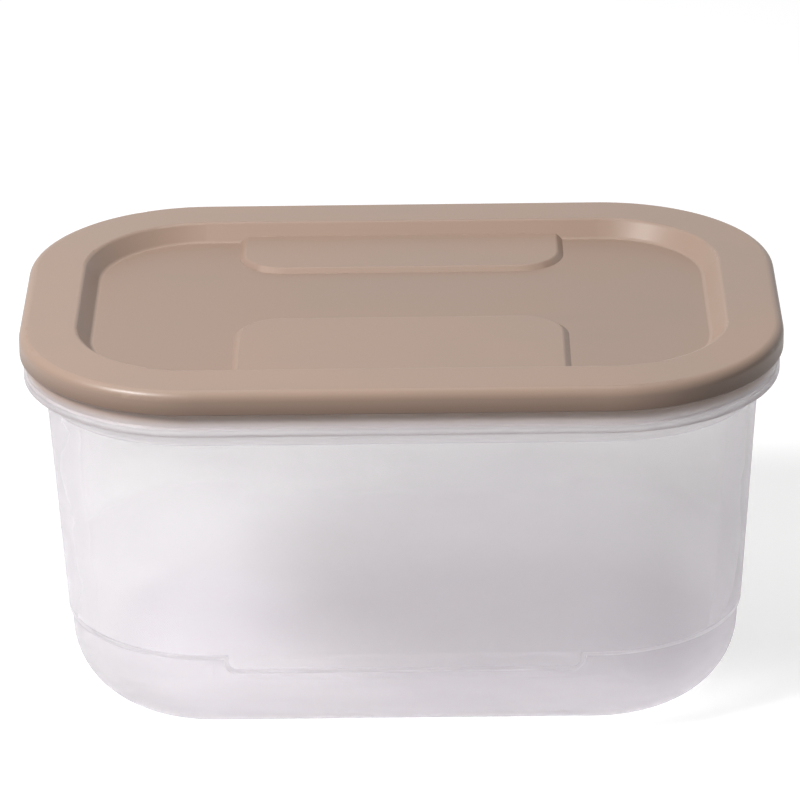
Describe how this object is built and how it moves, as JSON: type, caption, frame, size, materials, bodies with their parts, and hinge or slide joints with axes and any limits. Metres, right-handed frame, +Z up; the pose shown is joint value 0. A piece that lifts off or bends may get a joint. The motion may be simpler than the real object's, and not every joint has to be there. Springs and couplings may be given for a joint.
{
  "type": "food storage container",
  "caption": "Rectangular food storage container with large rounded corners: a hollow frosted tub with a stepped, bowl-shaped foot, shut by a press-on lid with a sunk panel.",
  "frame": {"origin": "centre of the bounding box at the ground, under the middle of the base", "axes": "+X along the container's length, +Y from its front to its back, +Z up through the lid"},
  "size_m": [0.2, 0.134, 0.106],
  "materials": {
    "tub": "frosted see-through polypropylene, smooth outside",
    "lid": "opaque taupe polypropylene, satin"
  },
  "bodies": {
    "root": {"tub": "tub", "lid": "lid"}
  },
  "joints": []
}
